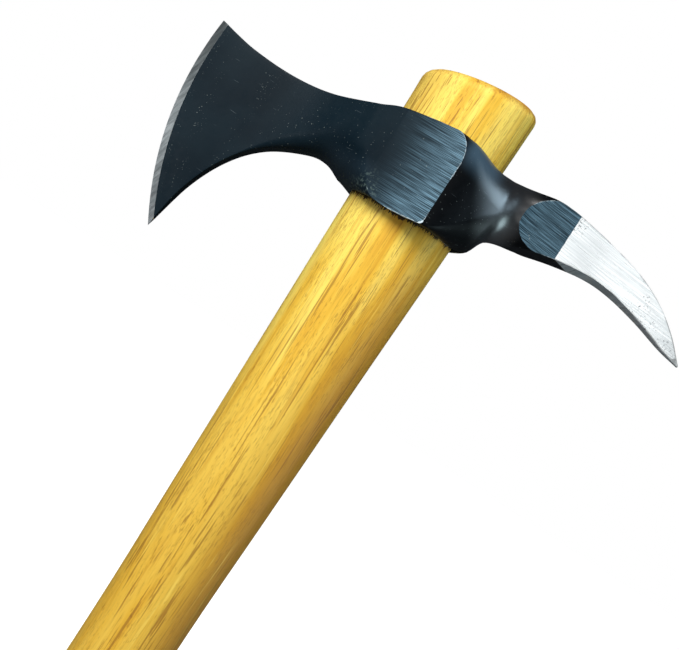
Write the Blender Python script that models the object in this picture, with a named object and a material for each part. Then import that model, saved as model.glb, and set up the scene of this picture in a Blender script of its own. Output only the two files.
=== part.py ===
"""A small hand axe with a pick on its poll: a forged head slipped onto a tapered round haft.

Metres, +Z up along the haft, origin at the middle of the haft's flat butt. The blade points
to -X and the pick to +X. The head has no wedge: its eye tapers with the haft, so the head
goes on from the grip end and jams on the thick end of the haft.
"""

import math
from itertools import pairwise

import bmesh
import bpy
from mathutils import Vector

MM = 0.001

# Haft.
HAFT_LENGTH = 350 * MM
HAFT_TOP_DIAMETER = 40.2 * MM
HAFT_TAPER = 0.0466  # loss of diameter along the cone
CONE_LENGTH = 160 * MM  # from the top face down to the start of the grip
GRIP_STEP = 1.744 * MM  # the grip is this much thinner than the cone's lower end
GRIP_DIAMETER = HAFT_TOP_DIAMETER - HAFT_TAPER * CONE_LENGTH - GRIP_STEP
GRIP_BLEND = 90 * MM  # length over which the cone runs out into the straight grip
GRIP_BLEND_RINGS = 8
BUTT_CHAMFER = 2.5 * MM
TOP_ROUND = 3.4 * MM
TOP_ROUND_TURNS = (0, 30, 60, 90)  # degrees
TOP_SLOPE_X = 0.15  # the top is sawn off a little slanted
TOP_SLOPE_Y = 0.12
SIDES = 64

# Eye: it follows the haft.
HEAD_DROP = 21.2 * MM  # from the haft's top face down to the eye's top rim
EYE_CLEARANCE = 0.3 * MM  # between the bore and the haft, all round
EYE_RADIUS = (HAFT_TOP_DIAMETER - HAFT_TAPER * HEAD_DROP) / 2 + EYE_CLEARANCE
CHEEK_WALL = 6.6 * MM  # between the bore and the widest point of the cheek
CHEEK_HALF_WIDTH = EYE_RADIUS + CHEEK_WALL
CHEEK_SLOPE = math.tan(math.radians(20))
EYE_ARCH = 1.6 * MM  # the eye's lower rim hangs lower at the cheeks than at the middle
BORE_ABOVE = 12 * MM  # how far the bore's cutter reaches above the eye's top rim
BORE_BELOW = 60 * MM

# Blade and pick.
BLADE_REACH = 85 * MM  # from the haft's axis to the upper corner of the edge
PICK_REACH = 102.7 * MM  # from the haft's axis to the pick's point
NECK_HALF_WIDTH = 10.6 * MM
PICK_HALF_WIDTH = 8.6 * MM
TIP_HALF_WIDTH = 0.5 * MM
EDGE_HALF_WIDTH = 0.15 * MM
BEVEL_HALF_WIDTH = 1.3 * MM
BLADE_HALF_WIDTH = 2.6 * MM
EDGE_BULGE = 5.8 * MM
ROOT_ROUND = 13 * MM  # height of the rounding under the blade's root
BLADE_CRISP = 0.6 * MM  # rounding of the corners along the blade, the eye and the pick
EYE_CRISP = 1 * MM
THIN_CRISP = 0.4  # and at most this share of a thin part's half width
SIDE_STEPS = 6
CORNER_TURNS = (0, 22.5, 45, 67.5, 90)  # degrees

# Outlines of the head seen from the side, in millimetres, from the blade to the pick: X from
# the haft's axis, Z up from the eye's top rim. They are drawn round an eye of this radius, and
# along_head() fits them to the eye and the reaches above.
DRAWN_EYE_RADIUS = 19.906
DRAWN_ROOT_X = -25
DRAWN_CREASE_X = 5.8
DRAWN_EYE_BACK_X = 29
DRAWN_PICK_START_X = 38
TOP_OF_BLADE = [(-85.0, -4.9), (-78, -6.6), (-70, -7.9), (-57, -8.4), (-42, -7.2), (-25, -3.5)]
TOP_OF_EYE = [(-25, -3.5), (-17, -1.1), (0, 0), (16, 0.6), (23, 1.8), (30, 3.0), (38, 3.5)]
TOP_OF_PICK = [(38, 3.5), (48, 3.1), (62, 1.5), (75, -1.3), (86, -5.7), (95, -11.8), (102.7, -19)]
UNDER_BLADE = [
    (-69.2, -75.2),
    (-65.4, -57.5),
    (-59, -43.3),
    (-50, -33.2),
    (-38, -27),
    (-31, -26.2),
    (-25, -28.6),
]
UNDER_EYE = [
    (-25, -28.6),
    (-18, -29.8),
    (-6, -31),
    (6, -30.2),
    (16, -28.7),
    (21, -27.3),
    (24, -25.4),
    (25.6, -21.8),
    (28, -19),
    (38, -15.7),
]
UNDER_PICK = [
    (38, -15.7),
    (50, -12.8),
    (62, -11.2),
    (72, -11.8),
    (84, -14.6),
    (95, -18),
    (102.7, -19.6),
]

# Where the head's cross-sections lie: shares of the blade's and the pick's outlines, and
# millimetres along the eye's.
BLADE_STATIONS = (0, 0.045, 0.1, 0.16, 0.24, 0.32, 0.4, 0.47, 0.54, 0.61, 0.68, 0.75, 0.82, 0.88)
BLADE_STATIONS += (0.94, 1)
EYE_STATIONS = (-21, -17, -12, -6, 0, 5.8, 9.5, 13, 17, 19, 21, 22.6, 24, 25, 25.8, 26.8, 29)
EYE_STATIONS += (31, 33, 35.5)
PICK_STATIONS = (0, 0.08, 0.16, 0.24, 0.32, 0.4, 0.48, 0.56, 0.64, 0.72, 0.8, 0.87, 0.93, 0.97, 1)


def remove_everything():
    for thing in list(bpy.data.objects):
        bpy.data.objects.remove(thing, do_unlink=True)


def material(name, colour, roughness, metallic):
    made = bpy.data.materials.new(name)
    made.use_nodes = True
    shader = made.node_tree.nodes["Principled BSDF"]
    shader.inputs["Base Color"].default_value = (*colour, 1)
    shader.inputs["Roughness"].default_value = roughness
    shader.inputs["Metallic"].default_value = metallic
    return made


def add_object(name, mesh_data, finish):
    mesh_data.normal_update()
    bmesh.ops.recalc_face_normals(mesh_data, faces=mesh_data.faces)
    mesh = bpy.data.meshes.new(name)
    mesh_data.to_mesh(mesh)
    mesh_data.free()
    mesh.materials.append(finish)
    mesh.shade_smooth()
    mesh.set_sharp_from_angle(angle=math.radians(28))
    thing = bpy.data.objects.new(name, mesh)
    bpy.context.scene.collection.objects.link(thing)
    return thing


def lofted(rings):
    """A closed skin over rings with the same number of points, with a flat cap at each end."""
    skin = bmesh.new()
    made = [[skin.verts.new(point) for point in ring] for ring in rings]
    for ring, following in pairwise(made):
        for i in range(len(ring)):
            j = (i + 1) % len(ring)
            skin.faces.new((ring[i], ring[j], following[j], following[i]))
    skin.faces.new(reversed(made[0]))
    skin.faces.new(made[-1])
    return skin


def smoothstep(start, end, value):
    t = min(1, max(0, (value - start) / (end - start)))
    return t * t * (3 - 2 * t)


def blend(a, b, share):
    return a + (b - a) * share


# The haft.


def haft_radius(z):
    """The cone narrows from the top, then runs out smoothly into the straight grip."""
    cone = (HAFT_TOP_DIAMETER - HAFT_TAPER * (HAFT_LENGTH - z)) / 2
    grip_top = HAFT_LENGTH - CONE_LENGTH
    return blend(GRIP_DIAMETER / 2, cone, smoothstep(grip_top - GRIP_BLEND, grip_top, z))


def ring_of(radius, z, slope_x=0, slope_y=0):
    ring = []
    for i in range(SIDES):
        turn = 2 * math.pi * i / SIDES
        x = radius * math.cos(turn)
        y = radius * math.sin(turn)
        ring.append((x, y, z + slope_x * x + slope_y * y))
    return ring


def make_haft(finish):
    rings = [ring_of(haft_radius(0) - BUTT_CHAMFER, 0)]
    rings.append(ring_of(haft_radius(BUTT_CHAMFER), BUTT_CHAMFER))
    grip_top = HAFT_LENGTH - CONE_LENGTH
    for i in range(GRIP_BLEND_RINGS + 1):
        z = grip_top - GRIP_BLEND * (1 - i / GRIP_BLEND_RINGS)
        rings.append(ring_of(haft_radius(z), z))
    for turn in TOP_ROUND_TURNS:
        inward = TOP_ROUND * (1 - math.cos(math.radians(turn)))
        z = HAFT_LENGTH - TOP_ROUND * (1 - math.sin(math.radians(turn)))
        rings.append(ring_of(haft_radius(z) - inward, z, TOP_SLOPE_X, TOP_SLOPE_Y))
    return add_object("haft", lofted(rings), finish)


# The head.


def along_head(drawn_x):
    """Where a drawn X lies on this head. The blade and the pick start at the eye's two ends."""
    wider = EYE_RADIUS - DRAWN_EYE_RADIUS * MM
    if drawn_x < DRAWN_ROOT_X:
        share = (drawn_x - DRAWN_ROOT_X) / (TOP_OF_BLADE[0][0] - DRAWN_ROOT_X)
        return blend(DRAWN_ROOT_X * MM - wider, -BLADE_REACH, share)
    if drawn_x > DRAWN_PICK_START_X:
        share = (drawn_x - DRAWN_PICK_START_X) / (TOP_OF_PICK[-1][0] - DRAWN_PICK_START_X)
        return blend(DRAWN_PICK_START_X * MM + wider, PICK_REACH, share)
    return drawn_x * MM + wider * min(1, max(-1, drawn_x / DRAWN_EYE_RADIUS))


def curve_through(points, steps=8):
    """A Catmull-Rom curve through the points of an outline, as a dense polyline in metres."""
    outline = [Vector((along_head(x), z * MM)) for x, z in points]
    ends = [outline[0] * 2 - outline[1], *outline, outline[-1] * 2 - outline[-2]]
    line = []
    for before, a, b, after in zip(ends, ends[1:], ends[2:], ends[3:]):
        for i in range(steps):
            t = i / steps
            line.append(
                0.5
                * (
                    2 * a
                    + (b - before) * t
                    + (2 * before - 5 * a + 4 * b - after) * t * t
                    + (3 * a - before - 3 * b + after) * t**3
                )
            )
    line.append(outline[-1])
    return line


def point_along(line, share):
    """The point at a share of the line's length."""
    lengths = [(b - a).length for a, b in pairwise(line)]
    left = share * sum(lengths)
    for (a, b), length in zip(pairwise(line), lengths):
        if left <= length:
            return a.lerp(b, left / length)
        left -= length
    return line[-1].copy()


def height_at(line, x):
    for a, b in pairwise(line):
        if a.x <= x <= b.x:
            return blend(a.y, b.y, (x - a.x) / (b.x - a.x))
    return line[-1].y


def through(knots, value):
    """Smooth interpolation between (value, result) pairs in rising order."""
    for (a, low), (b, high) in pairwise(knots):
        if value <= b:
            return blend(low, high, max(0, (value - a) / (b - a)))
    return knots[-1][1]


def section(top, under, half_width, corners, bulge=0, arch=0):
    """One closed ring round the head between a point of its top and one of its underside.

    corners holds the reach of the rounded corners across and along, at the top and below.
    """
    (top_across, top_along), (under_across, under_along) = corners
    height = (under - top).length
    down = (under - top) / height
    forward = Vector((-down.y, down.x))  # points away from the haft on the blade
    if forward.x > 0:
        forward = -forward

    def place(y, depth):
        share = depth / height
        point = top + down * depth + forward * (bulge * 4 * share * (1 - share))
        return (point.x, y, point.y)

    half = [(0, 0)]
    for degrees in CORNER_TURNS:
        turn = math.radians(degrees)
        half.append(
            (half_width - top_across * (1 - math.sin(turn)), top_along * (1 - math.cos(turn)))
        )
    first = top_along
    last = height - under_along
    for i in range(1, SIDE_STEPS):
        half.append((half_width, blend(first, last, i / SIDE_STEPS)))
    for degrees in CORNER_TURNS:
        turn = math.radians(degrees)
        half.append(
            (half_width - under_across * (1 - math.cos(turn)), last + under_along * math.sin(turn))
        )
    near = [place(y, depth) for y, depth in half]
    far = [place(-y, depth) for y, depth in reversed(half[1:])]
    middle = place(0, height - arch)
    return [*near, middle, *far]


def blade_rings():
    top = curve_through(TOP_OF_BLADE)
    under = curve_through(UNDER_BLADE)
    cheek_length = along_head(DRAWN_CREASE_X) - along_head(DRAWN_ROOT_X)
    root_half_width = CHEEK_HALF_WIDTH - CHEEK_SLOPE * cheek_length
    thickness = [
        (0, EDGE_HALF_WIDTH),
        (0.045, BEVEL_HALF_WIDTH),
        (0.16, 0.85 * BLADE_HALF_WIDTH),
        (0.38, BLADE_HALF_WIDTH),
        (0.5, 0.19 * root_half_width),
        (0.63, 0.27 * root_half_width),
        (0.75, 0.41 * root_half_width),
        (0.87, 0.66 * root_half_width),
        (1, root_half_width),
    ]
    rings = []
    for share in BLADE_STATIONS:
        half_width = through(thickness, share)
        crisp = min(BLADE_CRISP, THIN_CRISP * half_width)
        rounded = smoothstep(0.5, 0.85, share)
        below = (blend(crisp, half_width, rounded), blend(crisp, ROOT_ROUND, rounded))
        rings.append(
            section(
                point_along(top, share),
                point_along(under, share),
                half_width,
                ((crisp, crisp), below),
                bulge=EDGE_BULGE * (1 - share) ** 4,
            )
        )
    return rings


def eye_rings():
    top = curve_through(TOP_OF_EYE)
    under = curve_through(UNDER_EYE)
    behind_crease = [
        (DRAWN_CREASE_X, CHEEK_HALF_WIDTH),
        (9.5, CHEEK_HALF_WIDTH - 1.5 * MM),
        (13, CHEEK_HALF_WIDTH - 3.6 * MM),
        (17, CHEEK_HALF_WIDTH - 6.6 * MM),
        (21, blend(NECK_HALF_WIDTH, CHEEK_HALF_WIDTH, 0.39)),
        (25, blend(NECK_HALF_WIDTH, CHEEK_HALF_WIDTH, 0.19)),
        (DRAWN_EYE_BACK_X, NECK_HALF_WIDTH),
        (33, blend(NECK_HALF_WIDTH, PICK_HALF_WIDTH, 0.7)),
        (DRAWN_PICK_START_X, PICK_HALF_WIDTH),
    ]
    rings = []
    for drawn_x in EYE_STATIONS:
        x = along_head(drawn_x)
        high = Vector((x, height_at(top, x)))
        low = Vector((x, height_at(under, x)))
        if drawn_x <= DRAWN_CREASE_X:
            half_width = CHEEK_HALF_WIDTH - CHEEK_SLOPE * (along_head(DRAWN_CREASE_X) - x)
        else:
            half_width = through(behind_crease, drawn_x)
        half_height = (high.y - low.y) / 2
        rounded = smoothstep(DRAWN_CREASE_X, DRAWN_EYE_BACK_X, drawn_x)
        rounded *= 1 - smoothstep(31, DRAWN_PICK_START_X, drawn_x)
        across = blend(EYE_CRISP, half_width, rounded)
        along = blend(EYE_CRISP, half_height, rounded)
        rooted = 1 - smoothstep(DRAWN_ROOT_X, -11, drawn_x)
        below = (blend(across, half_width, rooted), blend(along, ROOT_ROUND, rooted))
        arch = EYE_ARCH * (1 - rooted) * (1 - smoothstep(21, DRAWN_EYE_BACK_X, drawn_x))
        rings.append(section(high, low, half_width, ((across, along), below), arch=arch))
    return rings


def pick_rings():
    top = curve_through(TOP_OF_PICK)
    under = curve_through(UNDER_PICK)
    thickness = [
        (0, PICK_HALF_WIDTH),
        (0.15, 0.88 * PICK_HALF_WIDTH),
        (0.4, 0.55 * PICK_HALF_WIDTH),
        (0.7, 0.31 * PICK_HALF_WIDTH),
        (0.9, 0.16 * PICK_HALF_WIDTH),
        (1, TIP_HALF_WIDTH),
    ]
    rings = []
    for share in PICK_STATIONS:
        half_width = through(thickness, share)
        high = point_along(top, share)
        low = point_along(under, share)
        crisp = min(EYE_CRISP, THIN_CRISP * half_width, THIN_CRISP * (high - low).length)
        rings.append(section(high, low, half_width, ((crisp, crisp), (crisp, crisp))))
    return rings


def make_bore_cutter():
    """The eye follows the haft's own cone, wider by the clearance."""
    rings = []
    for z in (-BORE_BELOW, BORE_ABOVE):
        level = HAFT_LENGTH - HEAD_DROP + z
        radius = (HAFT_TOP_DIAMETER - HAFT_TAPER * (HAFT_LENGTH - level)) / 2
        rings.append(ring_of(radius + EYE_CLEARANCE, z))
    return lofted(rings)


def make_head(finish):
    mount = bpy.data.objects.new("head_slide", None)
    mount.location = (0, 0, HAFT_LENGTH - HEAD_DROP)
    bpy.context.scene.collection.objects.link(mount)
    body = lofted([*blade_rings(), *eye_rings(), *pick_rings()])
    head = add_object("axe_head", body, finish)
    cutter = add_object("eye_bore", make_bore_cutter(), finish)
    cutter.hide_render = True
    cutter.display_type = "WIRE"
    head.parent = mount
    cutter.parent = mount
    cut = head.modifiers.new("eye", "BOOLEAN")
    cut.operation = "DIFFERENCE"
    cut.solver = "EXACT"
    cut.object = cutter
    return head


remove_everything()
make_haft(material("oiled_wood", (0.72, 0.43, 0.13), 0.5, 0))
make_head(material("black_paint", (0.013, 0.022, 0.032), 0.35, 0.1))
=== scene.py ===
"""Looks of a small hand axe with a pick poll: a forged, painted head on a round wooden haft."""

import math
from itertools import pairwise

import bmesh
import bpy
import numpy as np
from mathutils import Matrix, Vector, kdtree, noise


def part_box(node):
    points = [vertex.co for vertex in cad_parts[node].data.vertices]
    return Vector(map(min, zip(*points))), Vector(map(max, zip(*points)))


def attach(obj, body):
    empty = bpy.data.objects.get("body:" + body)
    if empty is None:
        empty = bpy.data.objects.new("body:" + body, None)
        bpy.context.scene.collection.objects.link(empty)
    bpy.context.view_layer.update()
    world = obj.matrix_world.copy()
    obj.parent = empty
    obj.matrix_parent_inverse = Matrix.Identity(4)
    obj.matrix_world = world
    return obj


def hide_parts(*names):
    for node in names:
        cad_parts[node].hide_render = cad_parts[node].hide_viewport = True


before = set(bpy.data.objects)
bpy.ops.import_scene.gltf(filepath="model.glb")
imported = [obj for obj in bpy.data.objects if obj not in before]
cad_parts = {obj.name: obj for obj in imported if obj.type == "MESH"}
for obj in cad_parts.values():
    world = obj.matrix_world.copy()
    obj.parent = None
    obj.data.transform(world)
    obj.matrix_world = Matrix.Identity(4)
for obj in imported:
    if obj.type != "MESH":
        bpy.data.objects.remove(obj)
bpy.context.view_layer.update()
MM = 0.001


# ---------------------------------------------------------------------------------------------
# The haft: one piece of straight-grained yellow hardwood, turned to a long cone that is thickest
# at the top, run out into a straight grip, sawn off a little slanted and oiled.
# ---------------------------------------------------------------------------------------------

_, haft_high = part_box("haft")
TOP_SLOPE = Vector((0.15, 0.12))  # rise of the sawn top along X and along Y
TOP_RADIUS = 20.1 * MM
TOP_ROUND = 3.4 * MM
HAFT_LENGTH = haft_high.z - TOP_SLOPE.length * (haft_high.x - TOP_ROUND)
CONE_TAPER = 0.0233  # loss of radius along the cone
GRIP_RADIUS = 15.5 * MM
GRIP_TOP = HAFT_LENGTH - 160 * MM
GRIP_BLEND = 90 * MM
BUTT_CHAMFER = 2.5 * MM
HAFT_RINGS = 420
HAFT_SIDES = 144
TURNING_MARKS = ((60, 14, 0.12 * MM), (220, 30, 0.03 * MM))  # across, along, depth

FLOAT = "NodeSocketFloat"
VECTOR = "NodeSocketVector"


def node_tree(name, kind, inputs, outputs):
    """An empty node group with named sockets: (name, type, default) in, (name, type) out."""
    tree = bpy.data.node_groups.new(name, kind)
    for label, socket, default in inputs:
        made = tree.interface.new_socket(label, in_out="INPUT", socket_type=socket)
        if default is not None:
            made.default_value = default
    for label, socket in outputs:
        tree.interface.new_socket(label, in_out="OUTPUT", socket_type=socket)
    return tree, tree.nodes.new("NodeGroupInput"), tree.nodes.new("NodeGroupOutput")


class Wiring:
    """Short calls that add nodes to one tree and link them."""

    def __init__(self, tree):
        self.tree = tree

    def add(self, kind, settings=None, **sockets):
        node = self.tree.nodes.new(kind)
        for key, value in (settings or {}).items():
            setattr(node, key, value)
        for key, value in sockets.items():
            self.feed(node.inputs[key.replace("_", " ")], value)
        return node

    def feed(self, socket, value):
        if isinstance(value, bpy.types.NodeSocket):
            self.tree.links.new(value, socket)
        else:
            socket.default_value = value

    def math(self, operation, *values, clamp=False):
        node = self.tree.nodes.new("ShaderNodeMath")
        node.operation = operation
        node.use_clamp = clamp
        for socket, value in zip(node.inputs, values):
            self.feed(socket, value)
        return node.outputs[0]

    def product(self, first, *others):
        for other in others:
            first = self.math("MULTIPLY", first, other)
        return first

    def ramp(self, value, start, end, low=0.0, high=1.0, smooth=True):
        node = self.tree.nodes.new("ShaderNodeMapRange")
        node.interpolation_type = "SMOOTHSTEP" if smooth else "LINEAR"
        for socket, given in zip(node.inputs, (value, start, end, low, high)):
            self.feed(socket, given)
        return node.outputs[0]

    def mix(self, share, a, b):
        node = self.tree.nodes.new("ShaderNodeMix")
        node.data_type = "RGBA"
        self.feed(node.inputs["Factor"], share)
        self.feed(node.inputs[6], a)
        self.feed(node.inputs[7], b)
        return node.outputs[2]

    def noise(self, where, scale, detail=2.0, roughness=0.5):
        node = self.add("ShaderNodeTexNoise", Scale=scale, Detail=detail, Roughness=roughness)
        self.feed(node.inputs["Vector"], where)
        return node.outputs["Fac"]

    def stretched(self, where, scale, turn=(0, 0, 0), shift=(0, 0, 0)):
        node = self.tree.nodes.new("ShaderNodeMapping")
        self.feed(node.inputs["Vector"], where)
        node.inputs["Location"].default_value = shift
        node.inputs["Rotation"].default_value = turn
        node.inputs["Scale"].default_value = scale
        return node.outputs[0]


def turned_bar_tree():
    """A bar turned along Z: a cone that runs out smoothly into a straight grip."""
    tree, given, result = node_tree(
        "turned_bar",
        "GeometryNodeTree",
        [
            ("Length", FLOAT, HAFT_LENGTH),
            ("Top Radius", FLOAT, TOP_RADIUS),
            ("Taper", FLOAT, CONE_TAPER),
            ("Grip Radius", FLOAT, GRIP_RADIUS),
            ("Grip Top", FLOAT, GRIP_TOP),
            ("Grip Blend", FLOAT, GRIP_BLEND),
            ("Rings", "NodeSocketInt", HAFT_RINGS),
            ("Sides", "NodeSocketInt", HAFT_SIDES),
            ("Material", "NodeSocketMaterial", None),
        ],
        [("Geometry", "NodeSocketGeometry")],
    )
    wire = Wiring(tree)
    size = given.outputs
    surface = wire.add(
        "GeometryNodeMeshCylinder",
        {"fill_type": "NGON"},
        Vertices=size["Sides"],
        Side_Segments=size["Rings"],
        Radius=1.0,
        Depth=size["Length"],
    )
    where = wire.add("GeometryNodeInputPosition")
    split = wire.add("ShaderNodeSeparateXYZ", Vector=where.outputs[0])
    height = wire.math("ADD", split.outputs[2], wire.product(size["Length"], 0.5))
    below_top = wire.math("SUBTRACT", size["Length"], height)
    cone = wire.math("SUBTRACT", size["Top Radius"], wire.product(below_top, size["Taper"]))
    blend_start = wire.math("SUBTRACT", size["Grip Top"], size["Grip Blend"])
    share = wire.ramp(height, blend_start, size["Grip Top"])
    difference = wire.math("SUBTRACT", cone, size["Grip Radius"])
    radius = wire.math("ADD", size["Grip Radius"], wire.product(difference, share))
    place = wire.add("ShaderNodeCombineXYZ")
    wire.feed(place.inputs["X"], wire.product(split.outputs[0], radius))
    wire.feed(place.inputs["Y"], wire.product(split.outputs[1], radius))
    wire.feed(place.inputs["Z"], height)
    bar = surface.outputs["Mesh"]
    move = wire.add("GeometryNodeSetPosition", Geometry=bar, Position=place.outputs[0])
    real = wire.add("GeometryNodeRealizeInstances", Geometry=move.outputs[0])
    finished = wire.add(
        "GeometryNodeSetMaterial", Geometry=real.outputs[0], Material=size["Material"]
    )
    wire.feed(result.inputs[0], finished.outputs[0])
    return tree


def grown(name, tree, values):
    """The plain mesh object that a Geometry Nodes tree makes with these input values."""
    start = bpy.data.objects.new(name + "_start", bpy.data.meshes.new(name + "_start"))
    bpy.context.scene.collection.objects.link(start)
    modifier = start.modifiers.new("grow", "NODES")
    modifier.node_group = tree
    for socket in tree.interface.items_tree:
        if socket.in_out == "INPUT" and socket.name in values:
            modifier[socket.identifier] = values[socket.name]
    graph = bpy.context.evaluated_depsgraph_get()
    mesh = bpy.data.meshes.new_from_object(start.evaluated_get(graph))
    start.modifiers.remove(modifier)
    bpy.data.objects.remove(start)
    mesh.name = name
    made = bpy.data.objects.new(name, mesh)
    bpy.context.scene.collection.objects.link(made)
    return made


def smooth_step(start, end, value):
    t = np.clip((value - start) / (end - start), 0, 1)
    return t * t * (3 - 2 * t)


def wood_figure():
    """Straight-grained wood: soft bands, narrow streaks, fibres, and dark pores and lines."""
    tree, given, result = node_tree(
        "wood_figure",
        "ShaderNodeTree",
        [("Vector", VECTOR, None)],
        [(label, FLOAT) for label in ("Bands", "Streaks", "Fibres", "Pores", "Lines")],
    )
    wire = Wiring(tree)
    where = given.outputs["Vector"]
    drift = wire.noise(wire.stretched(where, (25, 25, 7)), 1.0, 1)
    drift = wire.product(wire.math("SUBTRACT", drift, 0.5), 5 * MM)
    bend = wire.add("ShaderNodeCombineXYZ")
    wire.feed(bend.inputs["X"], drift)
    wire.feed(bend.inputs["Y"], drift)
    moved = wire.add("ShaderNodeVectorMath", {"operation": "ADD"})
    wire.feed(moved.inputs[0], where)
    wire.feed(moved.inputs[1], bend.outputs[0])
    where = moved.outputs[0]
    for label, scale, detail in (
        ("Bands", (105, 105, 8), 3),
        ("Streaks", (640, 640, 15), 3),
        ("Fibres", (2100, 2100, 110), 4),
    ):
        wire.feed(result.inputs[label], wire.noise(wire.stretched(where, scale), 1.0, detail, 0.6))
    pores = wire.noise(wire.stretched(where, (3000, 3000, 420)), 1.0, 1)
    grouped = wire.noise(wire.stretched(where, (210, 210, 26)), 1.0, 2)
    level = wire.ramp(grouped, 0.3, 0.68, 0.70, 0.56)
    wire.feed(result.inputs["Pores"], wire.ramp(wire.math("SUBTRACT", pores, level), 0.0, 0.06))
    lines = wire.noise(wire.stretched(where, (1300, 1300, 22), shift=(3, 1, 0)), 1.0, 1)
    places = wire.noise(wire.stretched(where, (140, 140, 18), shift=(7, 0, 0)), 1.0, 1)
    level = wire.ramp(places, 0.35, 0.62, 0.68, 0.57)
    wire.feed(result.inputs["Lines"], wire.ramp(wire.math("SUBTRACT", lines, level), 0.0, 0.05))
    return tree


def group(wire, name, **sockets):
    """Places a node group that is built already, and hands back its outputs."""
    return wire.add("ShaderNodeGroup", {"node_tree": bpy.data.node_groups[name]}, **sockets).outputs


def add_relief(wire, shader, height, strength, depth):
    bump = wire.add("ShaderNodeBump", Strength=strength, Distance=depth)
    wire.feed(bump.inputs["Height"], height)
    wire.feed(shader.inputs["Normal"], bump.outputs[0])


def new_material(name, **values):
    """A material, the wiring of its tree, its shader and its Object coordinates."""
    made = bpy.data.materials.new(name)
    made.use_nodes = True
    shader = made.node_tree.nodes["Principled BSDF"]
    for key, value in values.items():
        shader.inputs[key.replace("_", " ")].default_value = value
    wire = Wiring(made.node_tree)
    where = wire.add("ShaderNodeTexCoord").outputs["Object"]
    return made, wire, shader, where


WOOD_CREAM = (0.95, 0.74, 0.15, 1)
WOOD_GOLD = (0.86, 0.54, 0.055, 1)
WOOD_AMBER = (0.56, 0.25, 0.02, 1)
WOOD_BROWN = (0.26, 0.10, 0.018, 1)
GRIME = (0.012, 0.008, 0.006, 1)


def base_colour_and_painted_shade(wire, figure, part):
    """Pale bands at the top, painted shade in amber and brown on the +X side and on the blade side
    near the top, and darker towards the grip.
    """
    light = wire.ramp(figure["Bands"], 0.36, 0.6)
    toward_grip = wire.ramp(part[2], HAFT_LENGTH - 60 * MM, HAFT_LENGTH - 170 * MM)
    paler_above = wire.math("SUBTRACT", 1.0, wire.product(toward_grip, 0.6))
    base = wire.mix(wire.product(light, paler_above), WOOD_GOLD, WOOD_CREAM)
    base = wire.mix(wire.ramp(figure["Bands"], 0.5, 0.28, 0.0, 0.4), base, WOOD_AMBER)
    # Painted shade: amber on the +X side, away from the key light, more of it lower down.
    shaded_side = wire.ramp(part[0], -2 * MM, 17 * MM, 0.0, 0.95)
    lower = wire.ramp(part[2], HAFT_LENGTH - 25 * MM, HAFT_LENGTH - 90 * MM, 0.15, 1.0)
    base = wire.mix(wire.product(shaded_side, lower), base, WOOD_AMBER)
    # Painted shade: brown on the +X side towards the grip.
    shaded_grip_side = wire.product(wire.ramp(part[0], 2 * MM, 16 * MM), wire.product(toward_grip, 0.45))
    base = wire.mix(shaded_grip_side, base, WOOD_BROWN)
    # Painted shade: darker amber on the blade side near the top.
    shade_blade_side = wire.ramp(part[0], -5 * MM, -14 * MM)
    near_top = wire.ramp(part[2], HAFT_LENGTH - 45 * MM, HAFT_LENGTH - 20 * MM)
    base = wire.mix(wire.product(shade_blade_side, near_top, 0.32), base, WOOD_AMBER)
    return wire.mix(wire.product(toward_grip, 0.3), base, WOOD_AMBER)


def grained(wire, base, figure):
    """The figure of the wood over its base colour, from the wide streaks to the thin lines."""
    base = wire.mix(wire.ramp(figure["Streaks"], 0.5, 0.74, 0.0, 0.45), base, WOOD_AMBER)
    base = wire.mix(wire.ramp(figure["Streaks"], 0.42, 0.26, 0.0, 0.4), base, WOOD_CREAM)
    base = wire.mix(wire.ramp(figure["Fibres"], 0.48, 0.76, 0.0, 0.42), base, WOOD_BROWN)
    base = wire.mix(wire.product(figure["Pores"], 0.36), base, WOOD_BROWN)
    return wire.mix(wire.product(figure["Lines"], 0.62), base, WOOD_BROWN)


def shadow_and_grime_under_head(wire, base, where, rub):
    """Below the eye's rim: a soft brown band of painted contact shadow and grime that fades
    downwards, and ragged black flecks of grime.
    """
    below = wire.add("ShaderNodeAttribute", {"attribute_name": "below_rim"}).outputs["Fac"]
    cloud = wire.noise(wire.stretched(where, (190, 190, 60)), 1.0, 2)
    outside = wire.ramp(below, -3.0, -0.5)
    short = wire.ramp(rub, 0.35, 0.7, -0.3, 1.3)
    reach = wire.math("ADD", short, wire.ramp(cloud, 0.35, 0.7, 0.0, 0.9))
    flecks = wire.product(wire.ramp(wire.math("SUBTRACT", reach, below), -0.1, 0.35), outside)
    # Painted contact shadow mixed with grime: soft brown, fading down from the rim.
    depth = wire.ramp(cloud, 0.3, 0.7, 2.0, 10.0)
    fading = wire.math("DIVIDE", wire.math("MAXIMUM", below, 0.0), depth)
    shadow_and_grime_fade = wire.math("SUBTRACT", 1.0, fading, clamp=True)
    base = wire.mix(wire.product(wire.product(shadow_and_grime_fade, shadow_and_grime_fade, outside), 0.5), base, WOOD_BROWN)
    return wire.mix(wire.product(flecks, 0.93), base, GRIME)


def browned_top_rim(wire, base, part, rub):
    """The sawn top's rim, rounded over and browner towards its edge, most of all on the +X side."""
    slope = wire.math("ADD", wire.product(part[0], TOP_SLOPE.x), wire.product(part[1], TOP_SLOPE.y))
    from_top = wire.math("SUBTRACT", wire.math("ADD", slope, HAFT_LENGTH), part[2])
    ragged = wire.product(wire.math("SUBTRACT", rub, 0.5), 3 * MM)
    rim = wire.ramp(wire.math("ADD", from_top, ragged), 3.6 * MM, 0.3 * MM)
    side = wire.ramp(part[0], -10 * MM, 14 * MM, 0.35, 1.0)
    return wire.mix(wire.product(rim, wire.product(side, 0.8)), base, WOOD_BROWN)


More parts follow.
